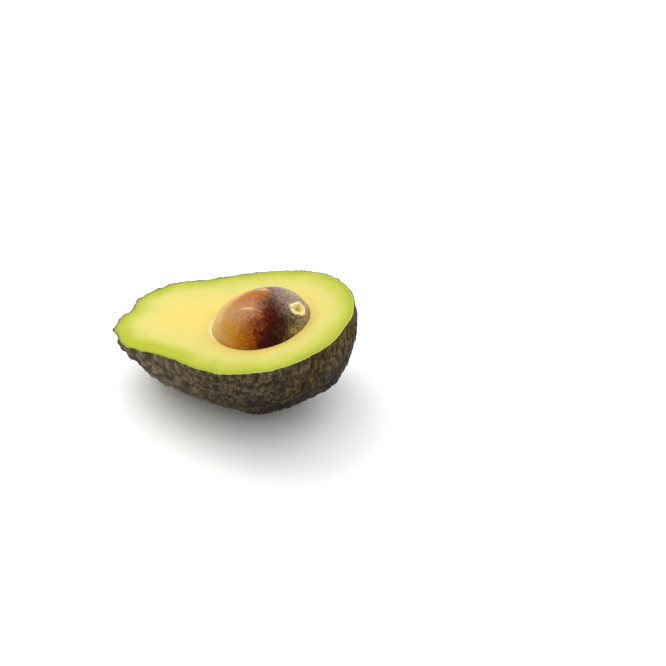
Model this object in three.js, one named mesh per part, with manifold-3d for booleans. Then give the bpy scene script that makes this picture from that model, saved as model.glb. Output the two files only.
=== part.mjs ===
// Half of an avocado, cut lengthwise, lying on its back with the seed still in its hollow.
// Three solids: the peel, the flesh it wraps and the seed. Millimetres and degrees, +Z up.
// +X runs along the fruit towards the broad end; the origin is the spot that it rests on.

import * as THREE from 'three';
import { mergeVertices } from 'three/addons/utils/BufferGeometryUtils.js';
import Module from 'manifold-3d';

// ---- driving dimensions ----

const fruitLength = 100; // stem end to blossom end
const midRadius = 33.9; // radius halfway along the fruit
const bellySwell = 10.6; // fuller towards the broad end
const endFullness = 6; // blunter at both ends
const neckFullness = 8.1; // thicker neck, rounder broad end
const neckBend = 2; // the neck leans sideways towards -Y
const cutAboveAxis = 1.6; // the knife passed just above the fruit's axis at mid-length
const cutTilt = 3; // and the axis sinks away from the cut towards the neck

const skinThickness = 1.2;
const jointGap = 0.3; // clearance between neighbouring pieces

const seedAlong = 63; // seed centre, from the stem end
const seedAside = 2.2; // seed centre, off the middle towards -Y
const seedDepth = 4.7; // seed centre, below the cut
const seedHalfLength = 20;
const seedRadius = 19.3;
const seedTaper = 0.06; // narrower towards the neck
const seedFlatness = 0.855; // thickness over width

const restPitch = 11; // how far the neck dips as the half lies on its back
const flatDepth = 0.35; // how much the belly is pressed flat where it rests

const fruitStations = 34; // rings from end to end
const fruitSides = 60;
const seedStations = 18;
const seedSides = 36;
const toolSize = 300; // edge of the blocks that cut, larger than the fruit

const colours = { skin: 0x4f463b, flesh: 0xede585, seed: 0x8a4b16 };

// ---- solids ----

const wasm = await Module();
wasm.setup();

function toSolid(geometry) {
  const bare = geometry.clone();
  bare.deleteAttribute('normal');
  bare.deleteAttribute('uv');
  const merged = mergeVertices(bare, 1e-4);
  const index = merged.index.array;
  const kept = [];
  for (let i = 0; i < index.length; i += 3) {
    const [a, b, c] = [index[i], index[i + 1], index[i + 2]];
    if (a !== b && b !== c && c !== a) {
      kept.push(a, b, c); // a triangle squeezed flat at a pole is dropped
    }
  }
  return new wasm.Manifold(
    new wasm.Mesh({
      numProp: 3,
      vertProperties: new Float32Array(merged.attributes.position.array),
      triVerts: new Uint32Array(kept),
    }),
  );
}

function toGeometry(solid) {
  const { vertProperties, triVerts } = solid.getMesh();
  const geometry = new THREE.BufferGeometry();
  geometry.setAttribute('position', new THREE.BufferAttribute(vertProperties, 3));
  geometry.setIndex(new THREE.BufferAttribute(triVerts, 1));
  geometry.computeVertexNormals();
  return geometry;
}

function block(centreZ) {
  const box = new THREE.BoxGeometry(toolSize, toolSize, toolSize);
  box.translate(0, 0, centreZ);
  return toSolid(box);
}

// A round body along X: radiusAt and slopeAt describe its outline for t from -1 to 1,
// and inset moves the whole surface inwards.
function roundBody(halfLength, radiusAt, slopeAt, stations, sides, inset) {
  const outline = [];
  for (let i = 0; i <= stations; i += 1) {
    const angle = (Math.PI * i) / stations;
    const t = -Math.cos(angle);
    const along = Math.sin(angle) * halfLength;
    const outward = Math.cos(angle) * radiusAt(t) + Math.sin(angle) ** 2 * slopeAt(t);
    const steepness = Math.hypot(along, outward);
    const radius = Math.sin(angle) * radiusAt(t) - (inset * along) / steepness;
    const isPole = i === 0 || i === stations;
    outline.push(
      new THREE.Vector2(isPole ? 0 : radius, t * halfLength + (inset * outward) / steepness),
    );
  }
  const lathe = new THREE.LatheGeometry(outline, sides);
  lathe.rotateZ(-Math.PI / 2);
  return lathe;
}

// ---- the fruit's outside, at any depth under its surface ----

function fruitBody(inset) {
  const radiusAt = (t) =>
    midRadius + bellySwell * t + endFullness * t ** 2 - neckFullness * t ** 3;
  const slopeAt = (t) => bellySwell + 2 * endFullness * t - 3 * neckFullness * t ** 2;
  const half = fruitLength / 2;
  const body = roundBody(half, radiusAt, slopeAt, fruitStations, fruitSides, inset);
  const position = body.attributes.position;
  for (let i = 0; i < position.count; i += 1) {
    const towardsNeck = (1 - position.getX(i) / half) / 2;
    position.setY(i, position.getY(i) - neckBend * towardsNeck ** 2);
  }
  body.rotateY(THREE.MathUtils.degToRad(-cutTilt));
  body.translate(half, 0, -cutAboveAxis);
  return body;
}

// ---- the seed, or the hollow that it sits in ----

function seedBody(inset) {
  const radiusAt = (t) => seedRadius * (1 + seedTaper * t);
  const slopeAt = () => seedRadius * seedTaper;
  const body = roundBody(seedHalfLength, radiusAt, slopeAt, seedStations, seedSides, inset);
  body.scale(1, 1, seedFlatness);
  body.translate(seedAlong, -seedAside, -seedDepth);
  return body;
}

// ---- laying the half on its back ----

// The pitched half stands on its lowest point, which becomes the origin once pressed flat.
function restingPose() {
  const pitch = new THREE.Matrix4().makeRotationY(THREE.MathUtils.degToRad(-restPitch));
  const pitched = fruitBody(0).applyMatrix4(pitch);
  const position = pitched.attributes.position;
  const lowest = new THREE.Vector3(0, 0, Infinity);
  const vertex = new THREE.Vector3();
  for (let i = 0; i < position.count; i += 1) {
    vertex.fromBufferAttribute(position, i);
    if (vertex.z < lowest.z) {
      lowest.copy(vertex);
    }
  }
  const place = new THREE.Matrix4().makeTranslation(
    -lowest.x,
    -lowest.y,
    -lowest.z - flatDepth,
  );
  return place.multiply(pitch);
}

const pose = restingPose();
const laid = (solid) => toSolid(toGeometry(solid).applyMatrix4(pose));
const aboveCut = block(toolSize / 2);
const belowRest = block(-toolSize / 2);

// ---- pieces ----

function makeSkin() {
  const shell = toSolid(fruitBody(0)).subtract(toSolid(fruitBody(skinThickness)));
  return laid(shell.subtract(aboveCut)).subtract(belowRest);
}

function makeFlesh() {
  const body = toSolid(fruitBody(skinThickness + jointGap));
  const hollow = toSolid(seedBody(-jointGap));
  return laid(body.subtract(aboveCut).subtract(hollow));
}

function makeSeed() {
  return laid(toSolid(seedBody(0)));
}

function piece(name, solid, roughness) {
  const material = new THREE.MeshStandardMaterial({
    color: colours[name],
    roughness,
    metalness: 0,
  });
  const mesh = new THREE.Mesh(toGeometry(solid), material);
  mesh.name = name;
  return mesh;
}

const avocadoHalf = new THREE.Group();
avocadoHalf.add(piece('skin', makeSkin(), 0.6));
avocadoHalf.add(piece('flesh', makeFlesh(), 0.45));
avocadoHalf.add(piece('seed', makeSeed(), 0.3));

export default avocadoHalf;
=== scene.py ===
import bpy
import numpy as np
from math import cos, exp, pi, radians, sin
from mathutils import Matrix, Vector, kdtree


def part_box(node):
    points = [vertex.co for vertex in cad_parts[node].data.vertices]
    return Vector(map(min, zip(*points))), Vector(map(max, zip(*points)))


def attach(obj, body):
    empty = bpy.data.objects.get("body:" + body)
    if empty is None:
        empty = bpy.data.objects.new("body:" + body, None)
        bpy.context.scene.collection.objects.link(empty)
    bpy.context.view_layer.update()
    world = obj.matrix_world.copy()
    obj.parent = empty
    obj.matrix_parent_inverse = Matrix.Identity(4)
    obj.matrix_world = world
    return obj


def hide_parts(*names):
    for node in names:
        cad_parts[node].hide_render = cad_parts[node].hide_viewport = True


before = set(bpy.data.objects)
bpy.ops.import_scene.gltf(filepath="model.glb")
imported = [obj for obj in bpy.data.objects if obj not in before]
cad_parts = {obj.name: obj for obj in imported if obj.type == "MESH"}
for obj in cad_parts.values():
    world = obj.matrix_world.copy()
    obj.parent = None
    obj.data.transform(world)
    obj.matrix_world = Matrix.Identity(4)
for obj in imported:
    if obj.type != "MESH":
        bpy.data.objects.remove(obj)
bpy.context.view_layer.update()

mm = 0.001


# helpers

def toLinear(hexColour):
    channels = [int(hexColour[i:i + 2], 16) / 255 for i in (1, 3, 5)]
    return [c / 12.92 if c <= 0.04045 else ((c + 0.055) / 1.055) ** 2.4 for c in channels] + [1.0]


def addNode(tree, kind, settings=None, inputs=None):
    node = tree.nodes.new(kind)
    for name, value in (settings or {}).items():
        setattr(node, name, value)
    for key, value in (inputs or {}).items():
        socket = node.inputs[key]
        if isinstance(value, bpy.types.Node):
            value = next(s for s in value.outputs if s.enabled)
        if isinstance(value, bpy.types.NodeSocket):
            tree.links.new(value, socket)
        else:
            socket.default_value = value
    return node


def setRamp(node, stops):  # stops: position and sRGB hex or grey value
    ramp = node.color_ramp
    while len(ramp.elements) < len(stops):
        ramp.elements.new(0.5)
    for element, (position, value) in zip(ramp.elements, stops):
        element.position = position
        element.color = toLinear(value) if isinstance(value, str) else [value] * 3 + [1.0]


def newMaterial(name):
    material = bpy.data.materials.new(name)
    material.use_nodes = True
    tree = material.node_tree
    return material, tree, tree.nodes["Principled BSDF"]


def gridPiece(name, rows, firstPole, lastPole):
    # rows of points joined into a tube around the columns, each open end closed on a pole point
    count = len(rows[0])
    points = [p for row in rows for p in row]
    faces = []
    for r in range(len(rows) - 1):
        for c in range(count):
            n = (c + 1) % count
            faces.append((r * count + c, r * count + n, (r + 1) * count + n, (r + 1) * count + c))
    last = (len(rows) - 1) * count
    points.append(firstPole)
    faces += [(len(points) - 1, (c + 1) % count, c) for c in range(count)]
    points.append(lastPole)
    faces += [(len(points) - 1, last + c, last + (c + 1) % count) for c in range(count)]
    mesh = bpy.data.meshes.new(name)
    mesh.from_pydata(np.array(points).tolist(), [], faces)
    mesh.shade_smooth()
    piece = bpy.data.objects.new(name, mesh)
    bpy.context.scene.collection.objects.link(piece)
    return piece


def setAttribute(piece, name, values, kind="FLOAT"):
    attribute = piece.data.attributes.new(name, kind, "POINT")
    key = "vector" if kind == "FLOAT_VECTOR" else "value"
    attribute.data.foreach_set(key, np.array(values, np.float32).ravel())


# the fruit's shape, in its own frame: x from the stem end, z up from the knife's cut, metres

fruit = {
    "length": 100 * mm,
    "midRadius": 33.9 * mm,
    "bellySwell": 10.6 * mm,     # fuller towards the broad end
    "endFullness": 6.0 * mm,     # blunter at both ends
    "neckFullness": 8.1 * mm,
    "neckBend": 2.0 * mm,        # the neck leans towards -Y
    "cutAboveAxis": 1.6 * mm,
    "cutTilt": 3.0,              # degrees, the axis sinks under the cut towards the neck
    "restPitch": 11.0,           # degrees, the neck dips as the half lies on its back
    "rindThickness": 1.1 * mm,
    "middle": (52 * mm, -1 * mm, 0.0),  # the outside is measured from here
    "columns": 560,              # mesh points around the outside, and rows of them down it
    "rows": 150,
    "lumps": [(6.5 * mm, 0.45 * mm), (2.9 * mm, 0.24 * mm)],  # size and height of its unevenness
    "lumpSeed": 5,
    "coreEnds": (22 * mm, 64 * mm),  # dents and lumps push away from the line between these
    # hollows and swellings that make it this fruit: where, how far out and how widely, all in mm
    "dents": [
        ((2, -1, 0), -2.7, 4.5),
        ((3, -16, 2), 1.6, 4),
        ((8, -18, -9), -1.6, 6),
        ((13, 20, 0), 0.8, 6),
        ((29, 26, 0), -1.2, 10),
        ((15, -25, 0), 1.5, 8),
        ((36, -30, 0), -1.2, 8),
        ((60, -37, 0), 0.9, 9),
        ((99, 0, 0), -0.9, 7),
        ((14, -20, -13), -1.0, 8),
        ((45, -25, -23), 0.6, 12),
        ((64, -25, -28), 0.8, 6),
        ((79, -15, -28), -1.6, 8),
        ((91, -5, -26), 0.6, 5),
    ],
}

seedShape = {
    "along": 63 * mm,
    "aside": -2.2 * mm,
    "depth": 4.7 * mm,
    "halfLength": 20 * mm,
    "halfWidth": 19.3 * mm,
    "halfHeight": 16.5 * mm,
    "taper": 0.06,
    "dents": [
        ((11, 9, 11), 0.9, 8),
        ((-9, 8, 12), -0.5, 7),
        ((2, -12, 10), 0.3, 6),
    ],
    "lumpHeight": 0.16 * mm,
    "lumpSize": 7 * mm,
    "lumpSeed": 3,
}


def smoothNoise(points, size, seed):
    # random values on a grid of that size, blended between its corners
    cells = 32
    start = 11.4  # where in the grid the origin falls
    values = np.random.default_rng(seed).uniform(-1, 1, (cells, cells, cells))
    place = points / size + start
    cell = np.floor(place).astype(int)
    part = place - cell
    part = part * part * (3 - 2 * part)
    total = np.zeros(points.shape[:-1])
    for corner in np.ndindex(2, 2, 2):
        share = np.prod(np.where(corner, part, 1 - part), axis=-1)
        index = (cell + corner) % cells
        total += share * values[index[..., 0], index[..., 1], index[..., 2]]
    return total


def dentAt(points, dents):
    push = np.zeros(points.shape[:-1])
    for place, rise, spread in dents:
        away = np.sum((points / mm - place) ** 2, axis=-1) / spread ** 2
        push += rise * mm * np.exp(-away)
    return push


def fruitRadius(t):
    f = fruit
    full = f["midRadius"] + f["bellySwell"] * t + f["endFullness"] * t ** 2 - f["neckFullness"] * t ** 3
    return np.sqrt(np.clip(1 - t ** 2, 0, 1)) * full


def insideRule(points):
    f = fruit
    half = f["length"] / 2
    tilt = radians(f["cutTilt"])
    x = points[..., 0] - half
    z = points[..., 2] + f["cutAboveAxis"]
    t = (x * cos(tilt) + z * sin(tilt)) / half
    up = -x * sin(tilt) + z * cos(tilt)
    side = points[..., 1] + f["neckBend"] * ((1 - t) / 2) ** 2
    return (np.abs(t) < 1) & (np.hypot(side, up) < fruitRadius(t))


def insideFruit(points):
    push = dentAt(points, fruit["dents"])
    for size, height in fruit["lumps"]:
        push += height * smoothNoise(points, size, fruit["lumpSeed"])
    core = np.zeros_like(points)
    core[..., 0] = np.clip(points[..., 0], *fruit["coreEnds"])
    outward = points - core
    outward /= np.maximum(np.linalg.norm(outward, axis=-1, keepdims=True), 1e-9)
    return insideRule(points - push[..., None] * outward)


def reach(origin, directions, inside, far=90 * mm):
    # distance from origin to the surface along each direction, by halving
    halvings = 24
    low = np.zeros(directions.shape[:-1])
    high = np.full(directions.shape[:-1], far)
    for _ in range(halvings):
        middle = (low + high) / 2
        within = inside(origin + middle[..., None] * directions)
        low = np.where(within, middle, low)
        high = np.where(within, high, middle)
    return low


def evenAngles(origin, inside, count):
    # angles around origin that space the rim evenly
    steps = 2001
    angles = np.linspace(0, 2 * pi, steps)
    flat = np.stack([np.cos(angles), np.sin(angles), 0 * angles], -1)
    rim = origin + reach(origin, flat, inside)[:, None] * flat
    travel = np.concatenate([[0], np.cumsum(np.linalg.norm(np.diff(rim, axis=0), axis=1))])
    return np.interp(np.arange(count) / count * travel[-1], travel, angles)


def bowlRows(origin, angles, dips, inside):
    # points where rays from origin, turned by angles and dipped below the cut, leave the shape
    a, d = np.meshgrid(angles, dips)
    directions = np.stack([np.cos(a) * np.cos(d), np.sin(a) * np.cos(d), -np.sin(d)], -1)
    return origin + reach(origin, directions, inside)[..., None] * directions


def gridNormals(rows):
    # outward normals of bowl rows, flat in the cut plane along the rim
    around = np.roll(rows, -1, axis=1) - np.roll(rows, 1, axis=1)
    down = np.gradient(rows, axis=0)
    normals = np.cross(down, around)
    normals[0, :, 2] = 0
    return normals / np.maximum(np.linalg.norm(normals, axis=-1, keepdims=True), 1e-12)


def insideSeed(points, grow=0.0):
    s = seedShape
    local = points - np.array([s["along"], s["aside"], -s["depth"]])
    lumps = s["lumpHeight"] * smoothNoise(local, s["lumpSize"], s["lumpSeed"])
    push = dentAt(local, s["dents"]) + lumps + grow
    size = np.maximum(np.linalg.norm(local, axis=-1), 1e-9)
    local = local * (1 - push / size)[..., None]
    t = local[..., 0] / s["halfLength"]
    width = 1 + s["taper"] * t
    y = local[..., 1] / s["halfWidth"] / width
    z = local[..., 2] / s["halfHeight"] / width
    return t ** 2 + y ** 2 + z ** 2 < 1


pitchAngle = radians(fruit["restPitch"])


def pitched(points):
    x, y, z = points[..., 0], points[..., 1], points[..., 2]
    c, s = cos(pitchAngle), sin(pitchAngle)
    return np.stack([x * c - z * s, y, x * s + z * c], -1)


# the skin's box in the frame says where the half lies
outsideOrigin = np.array(fruit["middle"])
plainAngles = np.linspace(0, 2 * pi, 241)
plainDips = np.linspace(0, pi / 2, 61)
plainRows = pitched(bowlRows(outsideOrigin, plainAngles, plainDips, insideRule))
low, high = (np.array(corner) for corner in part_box("skin"))
offset = (low + high - plainRows.min((0, 1)) - plainRows.max((0, 1))) / 2
offset[2] = high[2] - plainRows[..., 2].max()
outsideAngles = evenAngles(outsideOrigin, insideFruit, fruit["columns"])
outsideDips = np.linspace(0, pi / 2, fruit["rows"] + 1)[:-1]
outsideRows = bowlRows(outsideOrigin, outsideAngles, outsideDips, insideFruit)


def placed(points):
    return pitched(np.asarray(points)) + offset


print("fruit shape placed at", (offset / mm).round(2), "mm")


# skin: a thin pebbled rind, with its cut edge

rind = {
    # shape
    "neckSpacing": 3.1 * mm,     # pebbles are coarser on the neck
    "bellySpacing": 1.6 * mm,
    "streakSpacing": 1.2 * mm,   # they run into ridges at the broad end
    "pebbleHeight": 0.85 * mm,
    "grainSpacing": 0.95 * mm,
    "grainHeight": 0.6 * mm,
    "warp": 1.1,                 # how far the pebbles wander, in spacings
    "seed": 4.0,
    "neckToBelly": (0.3, 0.6),   # where the pebbles change, in fruit lengths from the stem end
    "bellyToStreaks": (0.78, 0.96),
    "edgeDrop": 0.12 * mm,       # the cut edge sinks a little below the flesh
    "edgeSteps": (0.12, 0.35, 0.65, 0.9, 1.0),  # rows across the cut edge, from the outside in
    "innerRows": 8,
    "sag": 0.8 * mm,             # soft where it rests
    "sagReach": 2.2 * mm,
    # colours, and the sizes of their patterns
    "neck": "#6A5E49",
    "body": "#68583F",
    "end": "#5A4825",
    # painted shade: the dark tone low on the belly and the broad end
    "under": "#190A06",
    "lowZone": (27 * mm, 59 * mm),  # the painted shade fades upwards between these, on a wandering edge
    "lowZoneWander": 26 * mm,
    "glint": "#6B6457",          # painted highlight on the tips of the darkest pebbles
    "patchSize": 11 * mm,
    "speckSize": 0.8 * mm,
    "gritSize": 0.45 * mm,
    "gritHeight": 0.45 * mm,
    "fibreWidth": 1.0 * mm,      # upright streaks on the broad end, partly the skin's fibres and partly painted gold highlight
    # painted shade in the furrows and painted highlight on the crests, as multipliers of the colour
    "furrowShade": 0.24,
    "crestShade": 1.5,
    "farShade": 0.55,            # painted shade: darker on the +Y side, which the lamps behind light most
    "farZone": (4 * mm, 28 * mm),
    "cutOuter": "#3B351C",
    "cutNeck": "#8F9636",
    "cutBelly": "#A9B158",
    "scar": "#8A6E48",           # corky scar of the stalk
    "scarPlace": (2.5, -11, 0),  # mm
    "scarRadius": 4.2 * mm,
    "scarFade": 1 * mm,
    "scarWander": 1.5 * mm,
}


def pebbledRindTree():
    tree = bpy.data.node_groups.new("pebbledRind", "GeometryNodeTree")
    interface = tree.interface
    interface.new_socket("Geometry", in_out="INPUT", socket_type="NodeSocketGeometry")
    for name in ("Neck Spacing", "Belly Spacing", "Streak Spacing", "Pebble Height", "Grain Spacing",
                 "Grain Height", "Warp", "Seed"):
        interface.new_socket(name, in_out="INPUT", socket_type="NodeSocketFloat")
    interface.new_socket("Material", in_out="INPUT", socket_type="NodeSocketMaterial")
    interface.new_socket("Geometry", in_out="OUTPUT", socket_type="NodeSocketGeometry")
    given = addNode(tree, "NodeGroupInput").outputs
    place = addNode(tree, "GeometryNodeInputPosition").outputs[0]
    outward, relief, along = (
        addNode(tree, "GeometryNodeInputNamedAttribute", {"data_type": kind}, {"Name": name})
        for name, kind in (("outward", "FLOAT_VECTOR"), ("relief", "FLOAT"), ("along", "FLOAT")))

    # rounded cells pushed about by noise, so that no two pebbles are alike
    domes = []
    for spacing, stretch in (("Neck Spacing", 0.85), ("Belly Spacing", 0.8), ("Streak Spacing", 0.4)):
        stretched = addNode(tree, "ShaderNodeVectorMath", {"operation": "MULTIPLY"},
                            {0: place, 1: (1, 1, stretch)})
        count = addNode(tree, "ShaderNodeMath", {"operation": "DIVIDE"}, {0: 1.0, 1: given[spacing]})
        inCells = addNode(tree, "ShaderNodeVectorMath", {"operation": "SCALE"},
                          {0: stretched, "Scale": count})
        wander = addNode(tree, "ShaderNodeTexNoise", {"noise_dimensions": "4D"},
                         {"Vector": inCells, "W": given["Seed"], "Scale": 0.55, "Detail": 3.0})
        centred = addNode(tree, "ShaderNodeVectorMath", {"operation": "SUBTRACT"},
                          {0: wander.outputs["Color"], 1: (0.5, 0.5, 0.5)})
        pushed = addNode(tree, "ShaderNodeVectorMath", {"operation": "SCALE"},
                         {0: centred, "Scale": given["Warp"]})
        warped = addNode(tree, "ShaderNodeVectorMath", {"operation": "ADD"}, {0: inCells, 1: pushed})
        cell = addNode(tree, "ShaderNodeTexVoronoi", {"feature": "SMOOTH_F1", "voronoi_dimensions": "4D"},
                       {"Vector": warped, "W": given["Seed"], "Scale": 1.0, "Smoothness": 0.25})
        dome = addNode(tree, "ShaderNodeMapRange", {"interpolation_type": "SMOOTHSTEP"},
                       {"Value": cell.outputs["Distance"], "From Min": 0.1, "From Max": 0.85,
                        "To Min": 1.0, "To Max": 0.0})
        domes.append(dome)
    neckEnds, bellyStarts = rind["neckToBelly"]
    bellyEnds, streaksStart = rind["bellyToStreaks"]
    pastNeck = addNode(tree, "ShaderNodeMapRange", {"interpolation_type": "SMOOTHSTEP"},
                       {"Value": along, "From Min": neckEnds, "From Max": bellyStarts})
    pastBelly = addNode(tree, "ShaderNodeMapRange", {"interpolation_type": "SMOOTHSTEP"},
                        {"Value": along, "From Min": bellyEnds, "From Max": streaksStart, "To Max": 0.6})
    mixed = addNode(tree, "ShaderNodeMix", {}, {"Factor": pastNeck, "A": domes[0], "B": domes[1]})
    pebble = addNode(tree, "ShaderNodeMix", {}, {"Factor": pastBelly, "A": mixed, "B": domes[2]})
    lower = addNode(tree, "ShaderNodeMapRange", {}, {"Value": along, "From Min": 0.25, "From Max": 0.6,
                                                    "To Min": 1.4, "To Max": 0.75})
    tall = addNode(tree, "ShaderNodeMath", {"operation": "MULTIPLY"}, {0: pebble, 1: given["Pebble Height"]})
    pebbleRise = addNode(tree, "ShaderNodeMath", {"operation": "MULTIPLY"}, {0: tall, 1: lower})

    # the fine grain on top of them
    fine = addNode(tree, "ShaderNodeMath", {"operation": "DIVIDE"}, {0: 1.0, 1: given["Grain Spacing"]})
    grain = addNode(tree, "ShaderNodeTexNoise", {"noise_dimensions": "4D"},
                    {"Vector": place, "W": given["Seed"], "Scale": fine, "Detail": 2.0, "Roughness": 0.55})
    grainOff = addNode(tree, "ShaderNodeMath", {"operation": "SUBTRACT"}, {0: grain, 1: 0.6})
    grainRise = addNode(tree, "ShaderNodeMath", {"operation": "MULTIPLY_ADD"},
                        {0: grainOff, 1: given["Grain Height"], 2: pebbleRise})
    level = addNode(tree, "ShaderNodeMath", {"operation": "MULTIPLY_ADD"},
                    {0: given["Pebble Height"], 1: -0.5, 2: grainRise})
    kept = addNode(tree, "ShaderNodeMath", {"operation": "MULTIPLY"}, {0: level, 1: relief})
    move = addNode(tree, "ShaderNodeVectorMath", {"operation": "SCALE"}, {0: outward, "Scale": kept})

    stored = addNode(tree, "GeometryNodeStoreNamedAttribute", {"data_type": "FLOAT", "domain": "POINT"},
                     {"Geometry": given["Geometry"], "Name": "pebble", "Value": pebble})
    raised = addNode(tree, "GeometryNodeSetPosition", {}, {"Geometry": stored, "Offset": move})
    smooth = addNode(tree, "GeometryNodeSetShadeSmooth", {}, {"Geometry": raised})
    real = addNode(tree, "GeometryNodeRealizeInstances", {}, {"Geometry": smooth})
    coated = addNode(tree, "GeometryNodeSetMaterial", {}, {"Geometry": real, "Material": given["Material"]})
    addNode(tree, "NodeGroupOutput", {}, {"Geometry": coated})
    return tree


def runTree(piece, tree, values):
    modifier = piece.modifiers.new(tree.name, "NODES")
    modifier.node_group = tree
    for socket in tree.interface.items_tree:
        if socket.in_out == "INPUT" and socket.name in values:
            modifier[socket.identifier] = values[socket.name]
    evaluated = piece.evaluated_get(bpy.context.evaluated_depsgraph_get())
    made = bpy.data.meshes.new_from_object(evaluated)
    piece.modifiers.clear()
    piece.data = made


def makeRindMaterial():
    # rind of a ripe dark avocado: leathery, waxy crests that catch the light over matt furrows; painted shade
    # darkens the furrows and painted highlight lightens the crests
    material, tree, shader = newMaterial("leatheryRind")
    look = rind
    place = addNode(tree, "ShaderNodeTexCoord").outputs["Object"]
    pebble, cut, along, fromStalk = (
        addNode(tree, "ShaderNodeAttribute", {"attribute_name": name}).outputs["Fac"]
        for name in ("pebble", "cut", "along", "fromStalk"))
    patches = addNode(tree, "ShaderNodeTexNoise", {},
                      {"Vector": place, "Scale": 1 / look["patchSize"], "Detail": 3.0})
    speck = addNode(tree, "ShaderNodeTexNoise", {},
                    {"Vector": place, "Scale": 1 / look["speckSize"], "Detail": 3.0})

    # tones from the neck to the broad end, and painted shade in a wandering zone low on the belly and the end
    shift = addNode(tree, "ShaderNodeMath", {"operation": "MULTIPLY_ADD"}, {0: patches, 1: 0.5, 2: -0.25})
    tone = addNode(tree, "ShaderNodeMath", {"operation": "ADD"}, {0: along, 1: shift})
    hue = addNode(tree, "ShaderNodeValToRGB", {}, {0: tone})
    setRamp(hue, [(0.1, look["neck"]), (0.5, look["body"]), (0.84, look["body"]), (1.0, look["end"])])
    split = addNode(tree, "ShaderNodeSeparateXYZ", {}, {0: place})
    uneven = addNode(tree, "ShaderNodeMath", {"operation": "MULTIPLY_ADD"},
                     {0: patches, 1: look["lowZoneWander"], 2: split.outputs["Z"]})
    lowest, highest = look["lowZone"]
    high = addNode(tree, "ShaderNodeMapRange", {"interpolation_type": "SMOOTHSTEP"},
                   {"Value": uneven, "From Min": lowest, "From Max": highest})
    aroundEnd = addNode(tree, "ShaderNodeMapRange", {}, {"Value": tone, "From Min": 0.48, "From Max": 0.74})
    onEnd = addNode(tree, "ShaderNodeMapRange", {}, {"Value": tone, "From Min": 0.78, "From Max": 1.0})
    low = addNode(tree, "ShaderNodeMath", {"operation": "SUBTRACT"}, {0: 1.0, 1: high})
    shaded = addNode(tree, "ShaderNodeMath", {"operation": "MULTIPLY"}, {0: low, 1: aroundEnd})
    body = addNode(tree, "ShaderNodeMix", {"data_type": "RGBA"},
                   {"Factor": shaded, 6: hue, 7: toLinear(look["under"])})

    # painted shade in the furrows and painted highlight on the crests, following the pebbles' height and
    # random specks
    height = addNode(tree, "ShaderNodeMath", {"operation": "MULTIPLY_ADD"}, {0: pebble, 1: 0.65, 2: speck})
    heightShare = addNode(tree, "ShaderNodeMapRange", {},
                          {"Value": height, "From Min": 0.45, "From Max": 1.2})
    relief = addNode(tree, "ShaderNodeMapRange", {},
                     {"Value": heightShare, "To Min": look["furrowShade"], "To Max": look["crestShade"]})
    # painted shade, darker towards the +Y side
    farFrom, farTo = look["farZone"]
    farSideShade = addNode(tree, "ShaderNodeMapRange", {"interpolation_type": "SMOOTHSTEP"},
                       {"Value": split.outputs["Y"], "From Min": farFrom, "From Max": farTo,
                        "To Min": 1.0, "To Max": look["farShade"]})
    shade = addNode(tree, "ShaderNodeMath", {"operation": "MULTIPLY"}, {0: relief, 1: farSideShade})
    pebbled = addNode(tree, "ShaderNodeMix", {"data_type": "RGBA", "blend_type": "MULTIPLY"},
                      {"Factor": 1.0, 6: body.outputs[2], 7: shade})
    # on the broad end: upright streaks, partly the skin's own fibres and partly painted gold highlights
    upright = addNode(tree, "ShaderNodeVectorMath", {"operation": "MULTIPLY"}, {0: place, 1: (1, 1, 0.16)})
    fibres = addNode(tree, "ShaderNodeTexNoise", {},
                     {"Vector": upright, "Scale": 1 / look["fibreWidth"], "Detail": 2.0})
    streaks = addNode(tree, "ShaderNodeMapRange", {}, {"Value": fibres, "From Min": 0.35, "From Max": 0.65,
                                                      "To Min": 0.45, "To Max": 1.6})
    skin = addNode(tree, "ShaderNodeMix", {"data_type": "RGBA", "blend_type": "MULTIPLY"},
                   {"Factor": onEnd, 6: pebbled.outputs[2], 7: streaks})
    # painted highlight: pale glints on the pebble tips within the painted shade
    tips = addNode(tree, "ShaderNodeMapRange", {}, {"Value": height, "From Min": 0.95, "From Max": 1.25,
                                                   "To Min": 0.0, "To Max": 0.8})
    darkTips = addNode(tree, "ShaderNodeMath", {"operation": "MULTIPLY"}, {0: tips, 1: shaded})
    glinted = addNode(tree, "ShaderNodeMix", {"data_type": "RGBA"},
                    {"Factor": darkTips, 6: skin.outputs[2], 7: toLinear(look["glint"])})

    # the stalk's scar
    scarEdge = addNode(tree, "ShaderNodeMath", {"operation": "MULTIPLY_ADD"},
                       {0: speck, 1: look["scarWander"], 2: fromStalk})
    onScar = addNode(tree, "ShaderNodeMapRange", {"interpolation_type": "SMOOTHSTEP"},
                     {"Value": scarEdge, "From Min": look["scarRadius"],
                      "From Max": look["scarRadius"] + look["scarFade"], "To Min": 1.0, "To Max": 0.0})
    corky = addNode(tree, "ShaderNodeMix", {"data_type": "RGBA"},
                    {"Factor": onScar, 6: glinted.outputs[2], 7: toLinear(look["scar"])})

    # the cut edge, dark outside and green towards the flesh
    pastNeck = addNode(tree, "ShaderNodeMapRange", {}, {"Value": along, "From Min": 0.4, "From Max": 0.75})
    inner = addNode(tree, "ShaderNodeMix", {"data_type": "RGBA"},
                    {"Factor": pastNeck, 6: toLinear(look["cutNeck"]), 7: toLinear(look["cutBelly"])})
    inwards = addNode(tree, "ShaderNodeMapRange", {"interpolation_type": "SMOOTHSTEP"},
                      {"Value": cut, "From Min": 0.1, "From Max": 0.7})
    section = addNode(tree, "ShaderNodeMix", {"data_type": "RGBA"},
                      {"Factor": inwards, 6: toLinear(look["cutOuter"]), 7: inner.outputs[2]})
    isCut = addNode(tree, "ShaderNodeMath", {"operation": "GREATER_THAN"}, {0: cut, 1: 0.02})
    colour = addNode(tree, "ShaderNodeMix", {"data_type": "RGBA"},
                     {"Factor": isCut, 6: corky.outputs[2], 7: section.outputs[2]})
    tree.links.new(colour.outputs[2], shader.inputs["Base Color"])
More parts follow.
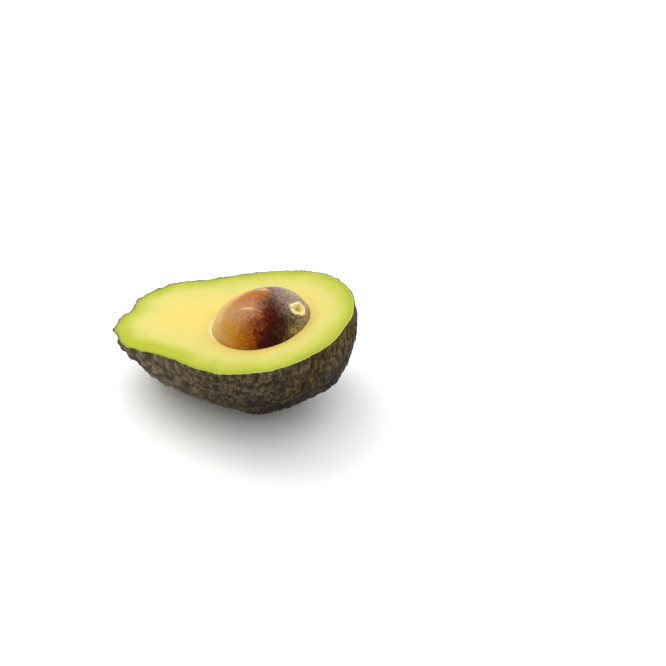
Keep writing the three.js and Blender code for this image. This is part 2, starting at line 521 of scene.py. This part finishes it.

    # waxy crests shine a little, and more so in the painted shade low on the belly and the end
    gloss = addNode(tree, "ShaderNodeMapRange", {}, {"Value": heightShare, "To Min": 0.75, "To Max": 0.3})
    wetter = addNode(tree, "ShaderNodeMath", {"operation": "MULTIPLY_ADD"}, {0: shaded, 1: -0.14, 2: gloss})
    tree.links.new(wetter.outputs[0], shader.inputs["Roughness"])
    fine = addNode(tree, "ShaderNodeTexNoise", {},
                   {"Vector": place, "Scale": 1 / look["gritSize"], "Detail": 2.0})
    grit = addNode(tree, "ShaderNodeMath", {"operation": "MULTIPLY_ADD"}, {0: fine, 1: 0.4, 2: speck})
    bump = addNode(tree, "ShaderNodeBump", {},
                   {"Strength": 1.0, "Distance": look["gritHeight"], "Height": grit})
    tree.links.new(bump.outputs[0], shader.inputs["Normal"])
    shader.inputs["IOR"].default_value = 1.45
    shader.inputs["Specular IOR Level"].default_value = 0.08
    return material


def makeSkin():
    normals = gridNormals(outsideRows)
    thickness = fruit["rindThickness"]
    drop = np.array([0, 0, rind["edgeDrop"]])
    steps = rind["edgeSteps"]
    edgeRows = []
    for s in steps:
        sunk = min(1, 4 * min(s, 1 - s) + 0.5)
        edgeRows.append(outsideRows[0] - normals[0] * thickness * s - drop * sunk)
    keep = np.linspace(1, len(outsideRows) - 1, rind["innerRows"]).astype(int)
    innerRows = [outsideRows[k] - normals[k] * thickness for k in keep]
    bottom = outsideRows[-1].mean(0)
    rows = list(outsideRows[::-1]) + edgeRows + innerRows
    rows[len(outsideRows) - 1] = rows[len(outsideRows) - 1] - drop * 0.5
    inner = bottom + np.array([0, 0, thickness])
    piece = gridPiece("avocadoSkin", [placed(r) for r in rows], placed(bottom), placed(inner))
    count = len(outsideAngles)
    outward = np.concatenate([normals[::-1].reshape(-1, 3)] + [normals[0]] * len(steps)
                             + [normals[k] for k in keep] + [np.array([[0, 0, -1.0]] * 2)])
    relief = np.concatenate([np.ones(outsideRows.shape[0] * count)]
                            + [np.full(count, 1 - s) for s in steps] + [np.zeros(count * len(keep)), [1, 0]])
    cut = np.concatenate([np.zeros(outsideRows.shape[0] * count)] + [np.full(count, s) for s in steps]
                         + [np.ones(count * len(keep)), [0, 1]])
    local = np.concatenate([np.concatenate(rows), [bottom, inner]])
    setAttribute(piece, "outward", pitched(outward), "FLOAT_VECTOR")
    setAttribute(piece, "relief", relief)
    setAttribute(piece, "cut", cut)
    setAttribute(piece, "along", local[:, 0] / fruit["length"])
    setAttribute(piece, "fromStalk", np.linalg.norm(local - np.array(rind["scarPlace"]) * mm, axis=1))
    runTree(piece, pebbledRindTree(), {
        "Neck Spacing": rind["neckSpacing"], "Belly Spacing": rind["bellySpacing"],
        "Streak Spacing": rind["streakSpacing"], "Pebble Height": rind["pebbleHeight"],
        "Grain Spacing": rind["grainSpacing"], "Grain Height": rind["grainHeight"], "Warp": rind["warp"],
        "Seed": rind["seed"], "Material": makeRindMaterial(),
    })
    # the outside sags and is pressed flat where it rests
    for vertex in piece.data.vertices:
        onOutside = relief[vertex.index] == 1
        sinks = rind["sag"] * exp(-max(vertex.co.z, 0) / rind["sagReach"]) if onOutside else 0
        vertex.co.z = max(vertex.co.z - sinks, 0.0)
    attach(piece, "root")
    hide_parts("skin")


# flesh: the cut face, its hollow and the side hidden under the rind

flesh = {
    # shape
    "columns": 420,
    "faceRows": 84,
    "sideRows": 24,
    "hollowRows": 24,
    "tuck": 0.1 * mm,            # the side reaches this far into the rind's inside, so no gap shows
    "edgeDip": 0.15 * mm,        # the face turns down at its rim
    "lip": 0.35 * mm,            # rounding where the face turns into the hollow
    "waveHeight": 0.16 * mm,     # left by the knife
    "waveSize": 17 * mm,
    "seedGap": 0.06 * mm,
    # colours, and the sizes of their patterns
    "stops": [(0.0, "#8F9420"), (0.06, "#98A026"), (0.15, "#A5A836"), (0.25, "#AEAD48"), (0.42, "#BAB45E"),
              (0.7, "#C2B461"), (1.0, "#C8B45B")],
    "depth": 20 * mm,            # how far in from the skin the colours run
    "lime": "#98A206",           # strongest on the neck's near side
    "seedSide": "#C0A650",
    "film": "#DDD09C",
    "bruise": "#8C8B22",         # faint olive flecks
    "bruiseSize": 4.5 * mm,
    "veinSpacing": 1.1 * mm,
    "veinLength": 9 * mm,
    "veinWander": 0.9 * mm,      # how far the veins and the clouds push the colours about
    "cloudSize": 9 * mm,
    "cloudWander": 6 * mm,
    "steadyRim": 5 * mm,         # near the skin they push less
    "seedReach": 5 * mm,
    "grainSize": 0.8 * mm,
    "grainHeight": 0.1 * mm,
    "glow": 2.5 * mm,            # how far light travels in it
    "limeAlong": (24 * mm, 24 * mm),   # middle and spread along the fruit
    "limeDepth": (3 * mm, 3.2 * mm),   # middle and spread in from the skin
    "filmPlace": (46 * mm, -9 * mm),
    "filmSpread": 7 * mm,
    "filmReach": 1.5 * mm,       # out from the seed
}


def makeFleshMaterial():
    # ripe avocado flesh: buttery and moist, green under the rind and yellow towards the seed
    material, tree, shader = newMaterial("butteryFlesh")
    look = flesh
    place = addNode(tree, "ShaderNodeTexCoord").outputs["Object"]
    fromSkin, fromSeed, onFilm, onLime = (
        addNode(tree, "ShaderNodeAttribute", {"attribute_name": name}).outputs["Fac"]
        for name in ("fromSkin", "fromSeed", "film", "lime"))
    around = addNode(tree, "ShaderNodeAttribute", {"attribute_name": "around"}).outputs["Vector"]
    veins = addNode(tree, "ShaderNodeTexNoise", {"noise_dimensions": "3D"},
                    {"Vector": around, "Scale": 1.0, "Detail": 3.0, "Roughness": 0.6})
    cloud = addNode(tree, "ShaderNodeTexNoise", {},
                    {"Vector": place, "Scale": 1 / look["cloudSize"], "Detail": 3.0})
    veinPush = addNode(tree, "ShaderNodeMath", {"operation": "MULTIPLY_ADD"},
                       {0: veins, 1: look["veinWander"], 2: -look["veinWander"] / 2})
    cloudPush = addNode(tree, "ShaderNodeMath", {"operation": "MULTIPLY_ADD"},
                        {0: cloud, 1: look["cloudWander"], 2: -look["cloudWander"] / 2})
    pushes = addNode(tree, "ShaderNodeMath", {"operation": "ADD"}, {0: veinPush, 1: cloudPush})
    nearness = addNode(tree, "ShaderNodeMapRange", {}, {"Value": fromSkin, "From Max": look["steadyRim"]})
    faded = addNode(tree, "ShaderNodeMath", {"operation": "MULTIPLY"}, {0: pushes, 1: nearness})
    depth = addNode(tree, "ShaderNodeMath", {"operation": "ADD"}, {0: fromSkin, 1: faded})
    share = addNode(tree, "ShaderNodeMath", {"operation": "DIVIDE"}, {0: depth, 1: look["depth"]})
    ramp = addNode(tree, "ShaderNodeValToRGB", {}, {0: share})
    setRamp(ramp, look["stops"])
    nearSeed = addNode(tree, "ShaderNodeMapRange", {},
                       {"Value": fromSeed, "From Max": look["seedReach"], "To Min": 0.75, "To Max": 0.0})
    warm = addNode(tree, "ShaderNodeMix", {"data_type": "RGBA"},
                   {"Factor": nearSeed, 6: ramp, 7: toLinear(look["seedSide"])})
    tint = addNode(tree, "ShaderNodeMapRange", {}, {"Value": veins, "From Min": 0.3, "From Max": 0.7,
                                                   "To Min": 0.985, "To Max": 1.012})

    # a shred of film, the strongest green and the flecks lie over that
    flecks = addNode(tree, "ShaderNodeTexNoise", {},
                     {"Vector": place, "Scale": 1 / look["bruiseSize"], "Detail": 5.0, "Roughness": 0.7})
    onFleck = addNode(tree, "ShaderNodeMapRange", {"interpolation_type": "SMOOTHSTEP"},
                      {"Value": flecks, "From Min": 0.6, "From Max": 0.76, "To Min": 0.0, "To Max": 0.45})
    layered = warm.outputs[2]
    for layer, amount in (("film", onFilm), ("lime", onLime), ("bruise", onFleck)):
        mixed = addNode(tree, "ShaderNodeMix", {"data_type": "RGBA"},
                        {"Factor": amount, 6: layered, 7: toLinear(look[layer])})
        layered = mixed.outputs[2]
    veined = addNode(tree, "ShaderNodeMix", {"data_type": "RGBA", "blend_type": "MULTIPLY"},
                     {"Factor": 1.0, 6: layered, 7: tint})
    tree.links.new(veined.outputs[2], shader.inputs["Base Color"])
    rough = addNode(tree, "ShaderNodeMapRange", {}, {"Value": cloud, "To Min": 0.42, "To Max": 0.6})
    tree.links.new(rough.outputs[0], shader.inputs["Roughness"])
    fine = addNode(tree, "ShaderNodeTexNoise", {},
                   {"Vector": place, "Scale": 1 / look["grainSize"], "Detail": 3.0})
    relief = addNode(tree, "ShaderNodeMath", {"operation": "ADD"}, {0: fine, 1: veins})
    bump = addNode(tree, "ShaderNodeBump", {},
                   {"Strength": 0.35, "Distance": look["grainHeight"], "Height": relief})
    tree.links.new(bump.outputs[0], shader.inputs["Normal"])
    shader.inputs["IOR"].default_value = 1.42
    shader.inputs["Specular IOR Level"].default_value = 0.25
    shader.inputs["Subsurface Weight"].default_value = 0.25
    shader.inputs["Subsurface Radius"].default_value = (1.0, 0.8, 0.35)
    shader.inputs["Subsurface Scale"].default_value = look["glow"]
    return material


def knifeWave(points):
    x, y = points[:, 0], points[:, 1]
    along = np.sin(x / flesh["waveSize"] * 2 * pi + 1.3 * np.sin(y / (11 * mm)))
    return flesh["waveHeight"] * (along + 0.5 * np.sin(y / (9 * mm) + x / (23 * mm)))


def flatTree(points):
    # finds how far a place on the cut face is from these points
    tree = kdtree.KDTree(len(points))
    for i, p in enumerate(points):
        tree.insert((p[0], p[1], 0), i)
    tree.balance()
    return tree


def makeFlesh():
    centre = np.array([seedShape["along"], seedShape["aside"], 0.0])
    angles = evenAngles(centre, insideFruit, flesh["columns"])
    dips = np.linspace(0, pi / 2, flesh["sideRows"] + 1)[:-1]
    side = bowlRows(centre, angles, dips, insideFruit)
    normals = gridNormals(side)
    side = side - normals * (fruit["rindThickness"] - flesh["tuck"])
    hollowDips = np.linspace(0, pi / 2, flesh["hollowRows"] + 1)[:-1]
    hollow = bowlRows(centre, angles, hollowDips, lambda p: insideSeed(p, flesh["seedGap"]))
    rim, mouth = side[0], hollow[0]
    lip = flesh["lip"]
    outwards = (rim - mouth) / np.linalg.norm(rim - mouth, axis=1, keepdims=True)
    faceRows = []
    for v in np.linspace(0, 1, flesh["faceRows"]):
        row = rim + (mouth + outwards * lip - rim) * v
        fade = min(1, v * 8, (1 - v) * 8)
        row[:, 2] += knifeWave(row) * fade
        if v == 0:
            row[:, 2] -= flesh["edgeDip"]
        faceRows.append(row)
    turn = [mouth + outwards * lip * (1 - sin(a)) - np.array([0, 0, lip * (1 - cos(a))])
            for a in (0.5, 1.0)]
    down = list(hollow[1:])
    down[0] = np.minimum(down[0], np.array([np.inf, np.inf, -lip]))  # starts under the lip
    rows = list(side[:0:-1]) + faceRows + turn + down
    bottomOut = side[-1].mean(0)
    bottomIn = hollow[-1].mean(0)
    piece = gridPiece("avocadoFlesh", [placed(r) for r in rows], placed(bottomOut), placed(bottomIn))

    local = np.concatenate(rows + [[bottomOut], [bottomIn]])
    skinTree, seedTree = flatTree(rim), flatTree(mouth)
    count = flesh["columns"]
    sideCount = (len(side) - 1) * count
    faceCount = len(faceRows) * count
    fromSkin = np.zeros(len(local))
    fromSeed = np.zeros(len(local))
    for i in range(sideCount, sideCount + faceCount):
        p = local[i]
        fromSkin[i] = skinTree.find((p[0], p[1], 0))[2]
        fromSeed[i] = seedTree.find((p[0], p[1], 0))[2]
    # the hollow has the yellow of the face beside it, and the side the green of the rim
    fromSkin[sideCount + faceCount:] = 14 * mm
    fromSeed[:sideCount] = 20 * mm
    relative = local - centre
    turnAngle = np.arctan2(relative[:, 1], relative[:, 0])
    distance = np.hypot(relative[:, 0], relative[:, 1])
    # veins fan out from the seed: many across the fan, few along it
    fan = 34 * mm / flesh["veinSpacing"]  # the face's mean radius in veins
    around = np.stack([np.cos(turnAngle) * fan, np.sin(turnAngle) * fan, distance / flesh["veinLength"]], -1)
    setAttribute(piece, "fromSkin", fromSkin)
    setAttribute(piece, "fromSeed", fromSeed)
    setAttribute(piece, "around", around, "FLOAT_VECTOR")
    # the green is strongest along the neck's near side, a little way in from the skin
    (alongMiddle, alongSpread), (inMiddle, inSpread) = flesh["limeAlong"], flesh["limeDepth"]
    nearNeck = np.exp(-((local[:, 0] - alongMiddle) / alongSpread) ** 2)
    nearNeck = nearNeck * np.clip(-local[:, 1] / (12 * mm), 0, 1)
    band = np.exp(-((fromSkin - inMiddle) / inSpread) ** 2)
    setAttribute(piece, "lime", 0.9 * nearNeck * band)
    # a shred of the seed's film clings to the flesh at the seed's neck end
    filmX, filmY = flesh["filmPlace"]
    clings = np.exp(-(np.hypot(local[:, 0] - filmX, local[:, 1] - filmY) / flesh["filmSpread"]) ** 2)
    setAttribute(piece, "film", 0.7 * clings * np.exp(-(fromSeed / flesh["filmReach"]) ** 2))
    piece.data.materials.append(makeFleshMaterial())
    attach(piece, "root")
    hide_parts("flesh")


# seed: a glossy brown stone with a pale scar where it was attached

seed = {
    # shape
    "rings": 150,
    "scarRings": 43,             # of them, close together within this angle of the scar
    "scarAngle": 0.32,
    "sides": 240,
    "scar": (16.2, 2.4, 9.9),    # from the seed's middle, mm
    "scarStretch": 1.25,         # it is longer across the slope
    "ringRadius": 2.25 * mm,
    "ringWidth": 0.85 * mm,
    "ringRise": 0.95 * mm,
    "ringHigh": 0.7,             # where around the scar the ring is highest, and where the lobe is,
    "lobeAngle": 3.6,            # in radians
    "lobePlace": 2.9 * mm,
    "lobeSize": 1.25 * mm,
    "pitSize": 1.7 * mm,
    "pitDepth": 0.4 * mm,
    # a loose shred of the coat and a wrinkle: place and size in mm, and how far they rise
    "flake": ((1.5, 5.3, 15.9), (1.6, 1.0, 1.2), 0.3 * mm),
    "wrinkle": ((0.8, -7.1, 15.0), (2.3, 0.55, 1.2), 0.28 * mm),
    # colours along the seed, from the neck's side to the scar's
    "stops": [(0.05, "#C09F62"), (0.22, "#AF833D"), (0.34, "#AC7212"), (0.46, "#9E5A04"), (0.56, "#7E3903"),
              (0.64, "#511404"), (0.72, "#380903"), (0.78, "#381807"), (0.85, "#3A260A"), (0.91, "#54421B"),
              (0.98, "#84703A")],
    "slant": 0.32,               # the colours run aslant across the seed
    "patchSize": 9 * mm,
    "mottleSize": 2.4 * mm,
    "speckSize": 0.85 * mm,
    "patchWander": 0.48,         # how far patches and mottle push the colours, in half lengths
    "mottleWander": 0.512,
    # tones over the coat: where, in half lengths from the seed's middle, what makes the edge ragged
    # and how much, how far the tone is full and where it ends, and its strength
    "tones": {
        "ridge": ("#9C5D04", (-0.2, 0.15, 0.8), "mottle", 0.5, 0.36, 0.68, 0.85),   # orange along the top
        "film": ("#8E7A66", (0.6, 0.38, 0.72), "patches", 0.4, 0.36, 0.92, 0.8),    # painted reflection: grey sheen of the sky behind the ridge
        "pinkReflection": ("#9A6C4C", (-0.2, -0.35, 0.68), "mottle", 0.5, 0.4, 0.8, 0.6),    # painted reflection: pinkish, by the wrinkle
    },
    "scarStops": [(0.0, "#8F8414"), (0.2, "#AD981C"), (0.36, "#D2BF7C"), (0.6, "#DCCB9A"), (0.78, "#BCA77A")],
    "scarReach": 4.2 * mm,       # how far from the pit's middle a stop at 1 is
    "scarEdge": 3.1 * mm,        # the coat starts here
    # the shred's pale, also the painted highlight along the wrinkle
    "pale": "#E4D391",
    "bumpHeight": 0.2 * mm,
}


def makeSeedMaterial(middle):
    # seed coat: thin brown skin over a smooth stone, polished where it is damp, papery where it has dried
    material, tree, shader = newMaterial("seedCoat")
    look = seed
    place = addNode(tree, "ShaderNodeTexCoord").outputs["Object"]
    half = seedShape["halfLength"]
    own = addNode(tree, "ShaderNodeMapping", {"vector_type": "POINT"},
                  {"Vector": place, "Location": -Vector(middle) / half, "Scale": [1 / half] * 3})
    patches = addNode(tree, "ShaderNodeTexNoise", {},
                      {"Vector": own, "Scale": half / look["patchSize"], "Detail": 3.0, "Roughness": 0.6})
    mottle = addNode(tree, "ShaderNodeTexNoise", {},
                     {"Vector": own, "Scale": half / look["mottleSize"], "Detail": 4.0, "Roughness": 0.65})
    speck = addNode(tree, "ShaderNodeTexNoise", {},
                    {"Vector": own, "Scale": half / look["speckSize"], "Detail": 2.0})
    axes = addNode(tree, "ShaderNodeSeparateXYZ", {}, {0: own})
    push = addNode(tree, "ShaderNodeMath", {"operation": "SUBTRACT"}, {0: patches, 1: 0.5})
    pushFine = addNode(tree, "ShaderNodeMath", {"operation": "SUBTRACT"}, {0: mottle, 1: 0.5})
    wide = addNode(tree, "ShaderNodeMath", {"operation": "MULTIPLY_ADD"},
                   {0: push, 1: look["patchWander"], 2: axes.outputs["X"]})
    ragged = addNode(tree, "ShaderNodeMath", {"operation": "MULTIPLY_ADD"},
                     {0: pushFine, 1: look["mottleWander"], 2: wide})
    across = addNode(tree, "ShaderNodeMath", {"operation": "ADD"}, {0: axes.outputs["Y"], 1: 0.5})
    along = addNode(tree, "ShaderNodeMath", {"operation": "MULTIPLY_ADD"},
                    {0: across, 1: look["slant"], 2: ragged})
    share = addNode(tree, "ShaderNodeMapRange", {}, {"Value": along, "From Min": -1.0, "From Max": 1.0})
    coat = addNode(tree, "ShaderNodeValToRGB", {}, {0: share})
    setRamp(coat, look["stops"])

    ragging = {"mottle": mottle, "patches": patches}
    shares = {}
    toned = coat.outputs["Color"]
    for name, (tone, middleOfTone, noise, raggedness, full, end, strength) in look["tones"].items():
        away = addNode(tree, "ShaderNodeVectorMath", {"operation": "DISTANCE"}, {0: own, 1: middleOfTone})
        edge = addNode(tree, "ShaderNodeMath", {"operation": "MULTIPLY_ADD"},
                       {0: ragging[noise], 1: raggedness, 2: away.outputs["Value"]})
        shares[name] = addNode(tree, "ShaderNodeMapRange", {"interpolation_type": "SMOOTHSTEP"},
                               {"Value": edge, "From Min": full, "From Max": end,
                                "To Min": strength, "To Max": 0.0})
        mixed = addNode(tree, "ShaderNodeMix", {"data_type": "RGBA"},
                        {"Factor": shares[name], 6: toned, 7: toLinear(tone)})
        toned = mixed.outputs[2]

    # specks get stronger towards the scar
    speckShade = addNode(tree, "ShaderNodeMapRange", {}, {"Value": speck, "From Min": 0.3, "From Max": 0.7,
                                                         "To Min": 0.3, "To Max": 1.6})
    speckShare = addNode(tree, "ShaderNodeMapRange", {}, {"Value": axes.outputs["X"], "From Min": -0.4,
                                                         "From Max": 0.6, "To Min": 0.15, "To Max": 0.95})
    specked = addNode(tree, "ShaderNodeMix", {"data_type": "RGBA", "blend_type": "MULTIPLY"},
                      {"Factor": speckShare, 6: toned, 7: speckShade})

    # the scar and the shred are pale, and the pale on the wrinkle is a painted highlight
    fromScar, scarPale, pale = (
        addNode(tree, "ShaderNodeAttribute", {"attribute_name": name}).outputs["Fac"]
        for name in ("fromScar", "scarPale", "pale"))
    scarShare = addNode(tree, "ShaderNodeMath", {"operation": "DIVIDE"}, {0: fromScar, 1: look["scarReach"]})
    scar = addNode(tree, "ShaderNodeValToRGB", {}, {0: scarShare})
    setRamp(scar, look["scarStops"])
    colour = addNode(tree, "ShaderNodeMix", {"data_type": "RGBA"},
                     {"Factor": scarPale, 6: specked.outputs[2], 7: scar})
    finished = addNode(tree, "ShaderNodeMix", {"data_type": "RGBA"},
                       {"Factor": pale, 6: colour.outputs[2], 7: toLinear(look["pale"])})
    tree.links.new(finished.outputs[2], shader.inputs["Base Color"])
    rough = addNode(tree, "ShaderNodeMapRange", {}, {"Value": mottle, "From Min": 0.3, "From Max": 0.7,
                                                    "To Min": 0.2, "To Max": 0.36})
    dried = addNode(tree, "ShaderNodeMath", {"operation": "MULTIPLY_ADD"},
                    {0: shares["ridge"], 1: 0.1, 2: rough})
    tree.links.new(dried.outputs[0], shader.inputs["Roughness"])
    relief = addNode(tree, "ShaderNodeMath", {"operation": "MULTIPLY_ADD"}, {0: speck, 1: 0.4, 2: mottle})
    bump = addNode(tree, "ShaderNodeBump", {},
                   {"Strength": 0.35, "Distance": look["bumpHeight"], "Height": relief})
    tree.links.new(bump.outputs[0], shader.inputs["Normal"])
    shader.inputs["IOR"].default_value = 1.47
    shader.inputs["Specular IOR Level"].default_value = 0.2
    return material


def bumpAt(local, place, size):
    return np.exp(-np.sum(((local - place) / size) ** 2, axis=-1))


def makeSeed():
    s = seedShape
    longest = 30 * mm  # more than from the seed's middle to any point of it
    farAway = 20 * mm  # stands for every place that is far from the scar
    centre = np.array([s["along"], s["aside"], -s["depth"]])
    axis = np.array(seed["scar"]) / np.linalg.norm(seed["scar"])
    first = np.cross([0, 1, 0], axis)    # across the scar, downhill towards the broad end
    first /= np.linalg.norm(first)
    second = np.cross(axis, first)
    # rings around the scar, closer together near it
    close = np.linspace(0, seed["scarAngle"], seed["scarRings"] + 1)[1:]
    wide = np.linspace(seed["scarAngle"], pi, seed["rings"] - seed["scarRings"] + 1)[1:-1]
    opening = np.concatenate([close, wide])
    turn = np.linspace(0, 2 * pi, seed["sides"], endpoint=False)
    a, o = np.meshgrid(turn, opening)
    directions = (np.cos(o)[..., None] * axis
                  + np.sin(o)[..., None] * (np.cos(a)[..., None] * first + np.sin(a)[..., None] * second))
    distance = reach(centre, directions, insideSeed, longest)
    fromScar = np.where(o > pi / 2, farAway, distance * np.sin(np.minimum(o, pi / 2)))
    # the scar: a raised ring, open on one side, with a lobe beside it and a pit in it
    wobble = 0.22 * np.sin(2 * a + 0.6) + 0.12 * np.sin(3 * a + 2) + 0.06 * np.sin(7 * a)
    stretch = np.sqrt(np.cos(a) ** 2 + (np.sin(a) / seed["scarStretch"]) ** 2)
    around = fromScar * stretch / (1 + 0.5 * wobble)
    openSide = 0.35 + 0.65 * (0.5 + 0.5 * np.cos(a - seed["ringHigh"])) ** 0.7
    ring = np.exp(-((around - seed["ringRadius"]) / seed["ringWidth"]) ** 2) * openSide
    lobeAt = seed["lobePlace"] * np.array([cos(seed["lobeAngle"]), sin(seed["lobeAngle"])])
    lobeOff = np.hypot(fromScar * np.cos(a) - lobeAt[0], fromScar * np.sin(a) - lobeAt[1])
    lobe = np.exp(-(lobeOff / seed["lobeSize"]) ** 2)
    pit = np.exp(-(around / seed["pitSize"]) ** 2)
    distance = distance + seed["ringRise"] * np.maximum(ring, 0.9 * lobe) - seed["pitDepth"] * pit
    points = centre + distance[..., None] * directions
    local = (points - centre) / mm
    flakePlace, flakeSize, flakeRise = seed["flake"]
    wrinklePlace, wrinkleSize, wrinkleRise = seed["wrinkle"]
    flake = bumpAt(local, flakePlace, flakeSize)
    wrinkle = bumpAt(local, wrinklePlace, wrinkleSize)
    points = points + (flakeRise * flake + wrinkleRise * wrinkle)[..., None] * directions
    pitPole = centre + axis * (reach(centre, axis[None], insideSeed, longest)[0] - seed["pitDepth"])
    piece = gridPiece("avocadoSeed", [placed(r) for r in points], placed(pitPole), placed(points[-1].mean(0)))
    setAttribute(piece, "fromScar", np.concatenate([around.ravel(), [0, farAway]]))
    pale = np.clip(np.maximum((seed["scarEdge"] - around) / (0.4 * mm), 2 * lobe - 0.4), 0, 1)
    setAttribute(piece, "scarPale", np.concatenate([pale.ravel(), [1, 0]]))
    # pale shred, and a painted highlight along the wrinkle
    setAttribute(piece, "pale", np.concatenate([(0.55 * flake + 0.6 * wrinkle).ravel(), [0, 0]]))
    piece.data.materials.append(makeSeedMaterial(placed([centre])[0]))
    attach(piece, "root")
    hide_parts("seed")


makeSkin()
print("skin made")
makeFlesh()
print("flesh made")
makeSeed()
print("seed made")


# stage

def makeStage():
    half, under = 3.0, 0.1 * mm  # metres to its edges, and how far below the belly it lies
    corners = [(x * half, y * half, -under) for x, y in ((-1, -1), (1, -1), (1, 1), (-1, 1))]
    mesh = bpy.data.meshes.new("floor")
    mesh.from_pydata(corners, [], [(0, 1, 2, 3)])
    floor = bpy.data.objects.new("floor", mesh)
    bpy.context.scene.collection.objects.link(floor)
    material, _, shader = newMaterial("paleBoard")  # matt white card
    shader.inputs["Base Color"].default_value = toLinear("#E6E6E4")
    shader.inputs["Roughness"].default_value = 0.9
    mesh.materials.append(material)


lights = {
    "background": 1.0,           # what the eye sees past the floor
    "horizon": 0.55,
    "zenith": 1.75,
    "lean": (-0.1, 0.4, 0),      # brighter towards the back
    "mirroredSky": 0.06,         # the studio past the lamps is dim, which keeps glossy things rich
    "sun": {"strength": 0.8, "softness": 40, "azimuth": -58, "elevation": 52},
    "backdrop": {"radiance": 1.2, "size": (1.1, 0.9), "azimuth": -3, "elevation": 20, "distance": 1.4},
    "rightBox": {"radiance": 0.6, "size": (0.5, 0.5), "azimuth": 80, "elevation": 30, "distance": 0.9},
    "leftBox": {"radiance": 2.2, "size": (0.5, 0.5), "azimuth": -76, "elevation": 36, "distance": 0.9},
}


def makeLights():
    world = bpy.data.worlds.new("studio")
    world.use_nodes = True
    tree = world.node_tree
    rays = addNode(tree, "ShaderNodeLightPath").outputs
    direction = addNode(tree, "ShaderNodeTexCoord").outputs["Generated"]
    up = addNode(tree, "ShaderNodeSeparateXYZ", {}, {0: direction}).outputs["Z"]
    sky = addNode(tree, "ShaderNodeMapRange", {}, {"Value": up, "To Min": lights["horizon"],
                                                  "To Max": lights["zenith"]})
    leaning = addNode(tree, "ShaderNodeVectorMath", {"operation": "DOT_PRODUCT"},
                      {0: direction, 1: lights["lean"]})
    skyLean = addNode(tree, "ShaderNodeMath", {"operation": "MULTIPLY_ADD"},
                      {0: leaning.outputs["Value"], 1: sky, 2: sky})
    mirrored = addNode(tree, "ShaderNodeMapRange", {}, {"Value": rays["Is Glossy Ray"], "To Min": skyLean,
                                                       "To Max": lights["mirroredSky"]})
    strength = addNode(tree, "ShaderNodeMapRange", {}, {"Value": rays["Is Camera Ray"], "To Min": mirrored,
                                                       "To Max": lights["background"]})
    tree.nodes["Background"].inputs["Color"].default_value = (1, 1, 1, 1)
    tree.links.new(strength.outputs[0], tree.nodes["Background"].inputs["Strength"])
    bpy.context.scene.world = world
    for name in ("sun", "backdrop", "rightBox", "leftBox"):
        settings = lights[name]
        az, el = radians(settings["azimuth"]), radians(settings["elevation"])
        towards = Vector((sin(az) * cos(el), cos(az) * cos(el), sin(el)))
        if name == "sun":
            data = bpy.data.lights.new(name, "SUN")
            data.energy = settings["strength"]
            data.angle = radians(settings["softness"])
            distance = 1.0
        else:
            data = bpy.data.lights.new(name, "AREA")
            data.shape = "RECTANGLE"
            data.size, data.size_y = settings["size"]
            data.energy = settings["radiance"] * pi * data.size * data.size_y
            distance = settings["distance"]
        lamp = bpy.data.objects.new(name, data)
        lamp.location = towards * distance
        lamp.rotation_euler = towards.to_track_quat("Z", "Y").to_euler()
        lamp.visible_camera = False
        bpy.context.scene.collection.objects.link(lamp)


viewpoint = {
    "lens": 60.0,                # millimetres, and so is the sensor
    "sensor": 36.0,
    "azimuth": 21.8,
    "elevation": 37.9,
    "distance": 0.456,           # metres, and so are the next three
    "right": 0.036,              # the half sits left of the view's middle
    "up": 0.0215,
    "nearest": 0.01,
}


def makeCamera():
    v = viewpoint
    data = bpy.data.cameras.new("camera")
    data.lens = v["lens"]
    data.sensor_width = v["sensor"]
    camera = bpy.data.objects.new("camera", data)
    az, el = radians(v["azimuth"]), radians(v["elevation"])
    back = Vector((sin(az) * cos(el), -cos(az) * cos(el), sin(el)))
    right = Vector((cos(az), sin(az), 0))
    camera.location = back * v["distance"] + right * v["right"] + back.cross(right) * v["up"]
    camera.rotation_euler = (pi / 2 - el, 0, az)
    data.clip_start = v["nearest"]
    bpy.context.scene.collection.objects.link(camera)
    bpy.context.scene.camera = camera


makeStage()
makeLights()
makeCamera()
bpy.context.scene.view_settings.view_transform = "Standard"
